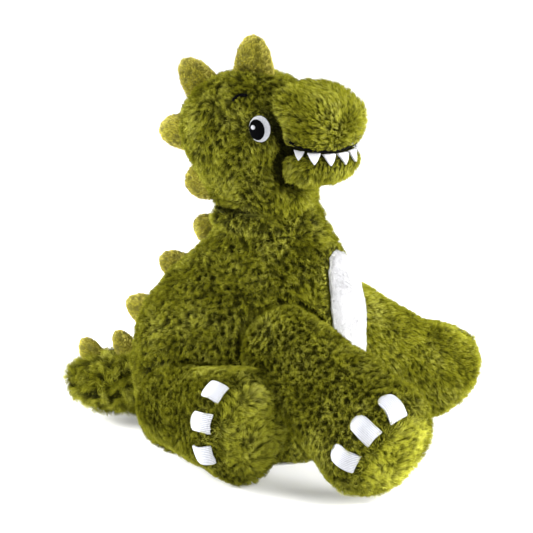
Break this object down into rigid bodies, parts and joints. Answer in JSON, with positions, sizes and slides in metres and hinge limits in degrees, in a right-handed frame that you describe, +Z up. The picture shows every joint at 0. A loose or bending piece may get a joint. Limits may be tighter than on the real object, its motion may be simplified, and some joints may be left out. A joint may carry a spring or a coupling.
{
  "type": "plush dinosaur",
  "caption": "Sitting stuffed dinosaur with a nodding, turning head, a swinging tail, front legs that lift and hind legs that splay.",
  "frame": {"origin": "on the floor, under the middle of the seat", "axes": "+Z up, +X forwards where the muzzle points, +Y the animal's left"},
  "size_m": [0.3932, 0.3195, 0.355],
  "materials": {
    "plush": "long pile",
    "sole_plush": "short pile",
    "spike_felt": "velour",
    "white_plush": "long pile",
    "white_satin": "satin stitch",
    "black_thread": "satin stitch",
    "fibrefill": "loose fibre"
  },
  "bodies": {
    "torso": {"torso_cover": "plush", "torso_stuffing": "fibrefill", "belly_patch": "white_plush", "spike_5_torso": "spike_felt", "spike_6_torso": "spike_felt", "spike_7_torso": "spike_felt"},
    "neck": {"neck_cover": "plush", "neck_stuffing": "fibrefill"},
    "head": {"head_cover": "plush", "muzzle_cover": "plush", "jaw_cover": "plush", "head_stuffing": "fibrefill", "mouth_line": "black_thread", "right_eye_white": "white_satin", "right_eye_pupil": "black_thread", "right_brow": "black_thread", "left_eye_white": "white_satin", "left_eye_pupil": "black_thread", "left_brow": "black_thread", "tooth_1": "white_satin", "tooth_2": "white_satin", "tooth_3": "white_satin", "tooth_4": "white_satin", "tooth_5": "white_satin", "tooth_6": "white_satin", "tooth_7": "white_satin", "tooth_8": "white_satin", "tooth_9": "white_satin", "spike_1_head": "spike_felt", "spike_2_head": "spike_felt", "spike_3_head": "spike_felt", "spike_4_head": "spike_felt"},
    "tail": {"tail_cover": "plush", "tail_stuffing": "fibrefill", "spike_8_tail": "spike_felt", "spike_9_tail": "spike_felt"},
    "front_right_leg": {"front_right_leg_cover": "plush", "front_right_leg_stuffing": "fibrefill", "front_right_sole": "sole_plush", "front_right_claw_1": "white_satin", "front_right_claw_2": "white_satin", "front_right_claw_3": "white_satin"},
    "front_left_leg": {"front_left_leg_cover": "plush", "front_left_leg_stuffing": "fibrefill", "front_left_sole": "sole_plush", "front_left_claw_1": "white_satin", "front_left_claw_2": "white_satin", "front_left_claw_3": "white_satin"},
    "hind_right_leg": {"hind_right_leg_cover": "plush", "hind_right_leg_stuffing": "fibrefill", "hind_right_sole": "sole_plush", "hind_right_claw_1": "white_satin", "hind_right_claw_2": "white_satin", "hind_right_claw_3": "white_satin"},
    "hind_left_leg": {"hind_left_leg_cover": "plush", "hind_left_leg_stuffing": "fibrefill", "hind_left_sole": "sole_plush", "hind_left_claw_1": "white_satin", "hind_left_claw_2": "white_satin", "hind_left_claw_3": "white_satin"}
  },
  "joints": [
    {"name": "neck_nod", "type": "hinge", "parent": "torso", "child": "neck", "pos_m": [0.025, 0, 0.208], "axis": [0, 1, 0], "range_deg": [-10, 12]},
    {"name": "head_turn", "type": "hinge", "parent": "neck", "child": "head", "pos_m": [0.025, 0, 0.213], "axis": [0, 0, 1], "range_deg": [-25, 25]},
    {"name": "tail_swing", "type": "hinge", "parent": "torso", "child": "tail", "pos_m": [-0.084, 0, 0.042], "axis": [0, 0, 1], "range_deg": [-15, 15]},
    {"name": "front_right_lift", "type": "hinge", "parent": "torso", "child": "front_right_leg", "pos_m": [0.074, -0.057, 0.104], "axis": [-0.3807, -0.9247, 0], "range_deg": [0, 24]},
    {"name": "front_left_lift", "type": "hinge", "parent": "torso", "child": "front_left_leg", "pos_m": [0.074, 0.057, 0.101], "axis": [0.8162, -0.5778, 0], "range_deg": [0, 24]},
    {"name": "hind_right_splay", "type": "hinge", "parent": "torso", "child": "hind_right_leg", "pos_m": [-0.024, -0.064, 0.044], "axis": [0, 0, -1], "range_deg": [0, 30]},
    {"name": "hind_left_splay", "type": "hinge", "parent": "torso", "child": "hind_left_leg", "pos_m": [-0.024, 0.064, 0.044], "axis": [0, 0, 1], "range_deg": [0, 30]}
  ]
}
